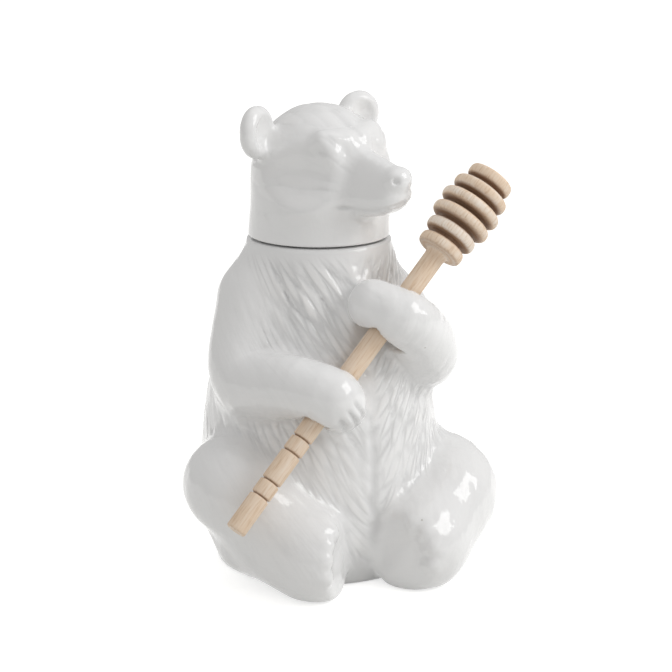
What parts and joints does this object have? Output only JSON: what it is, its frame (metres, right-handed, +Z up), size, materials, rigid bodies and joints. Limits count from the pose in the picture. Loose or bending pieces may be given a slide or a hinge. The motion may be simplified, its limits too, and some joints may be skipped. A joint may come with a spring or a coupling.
{
  "type": "honey pot",
  "caption": "Seated glazed ceramic bear honey pot: hollow torso, lift-off head lid with a locating flange, arms hugging a turned wooden honey dipper that draws out through the paws.",
  "frame": {"origin": "centre of the flat base, on the axis of the neck", "axes": "+Z up, the bear faces -Y, +X is the bear's own left"},
  "size_m": [0.1176, 0.1029, 0.169],
  "materials": {
    "white_glaze": "gloss",
    "beech": "satin"
  },
  "bodies": {
    "pot": {"torso_pot": "white_glaze", "right_leg": "white_glaze", "left_leg": "white_glaze", "right_arm": "white_glaze", "left_arm": "white_glaze"},
    "lid": {"head_shell": "white_glaze", "right_ear": "white_glaze", "left_ear": "white_glaze"},
    "dipper": {"honey_dipper": "beech"}
  },
  "joints": [
    {"name": "lid_lift", "type": "slide", "parent": "pot", "child": "lid", "axis": [0, 0, 1], "range_m": [0, 0.06]},
    {"name": "dipper_draw", "type": "slide", "parent": "pot", "child": "dipper", "axis": [0.6783, 0.1479, 0.7197], "range_m": [-0.01, 0.115]}
  ]
}
